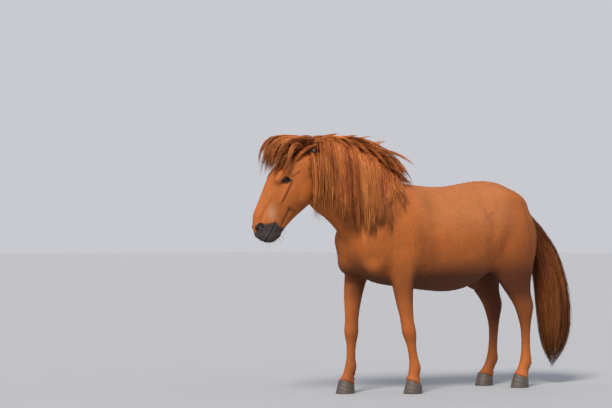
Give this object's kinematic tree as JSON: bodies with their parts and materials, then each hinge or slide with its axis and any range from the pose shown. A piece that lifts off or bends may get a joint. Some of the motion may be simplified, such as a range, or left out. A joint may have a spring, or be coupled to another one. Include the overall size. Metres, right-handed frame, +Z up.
{
  "type": "standing horse",
  "caption": "Life-size still figure of a small, stocky long-maned horse standing with its head lowered, with mane, forelock, tail and hooves as separate solids.",
  "frame": {"origin": "on the floor under the middle of the box", "axes": "+X towards the tail, -Y towards the horse's left side, +Z up"},
  "size_m": [2.4136, 0.5799, 1.6126],
  "materials": {
    "head": "short chestnut coat",
    "neck": "short chestnut coat",
    "torso": "short chestnut coat",
    "leg_fore_left": "short chestnut coat",
    "leg_fore_right": "short chestnut coat",
    "leg_hind_left": "short chestnut coat",
    "leg_hind_right": "short chestnut coat",
    "ear_left": "short chestnut coat",
    "ear_right": "short chestnut coat",
    "mane": "long chestnut hair",
    "forelock": "long chestnut hair",
    "tail": "long chestnut hair",
    "hoof_fore_left": "dark horn",
    "hoof_fore_right": "dark horn",
    "hoof_hind_left": "dark horn",
    "hoof_hind_right": "dark horn",
    "eye_left": "wet dark eye",
    "eye_right": "wet dark eye"
  },
  "bodies": {
    "root": {"head": "head", "neck": "neck", "torso": "torso", "leg_fore_left": "leg_fore_left", "leg_fore_right": "leg_fore_right", "leg_hind_left": "leg_hind_left", "leg_hind_right": "leg_hind_right", "ear_left": "ear_left", "ear_right": "ear_right", "mane": "mane", "forelock": "forelock", "tail": "tail", "hoof_fore_left": "hoof_fore_left", "hoof_fore_right": "hoof_fore_right", "hoof_hind_left": "hoof_hind_left", "hoof_hind_right": "hoof_hind_right", "eye_left": "eye_left", "eye_right": "eye_right"}
  },
  "joints": []
}
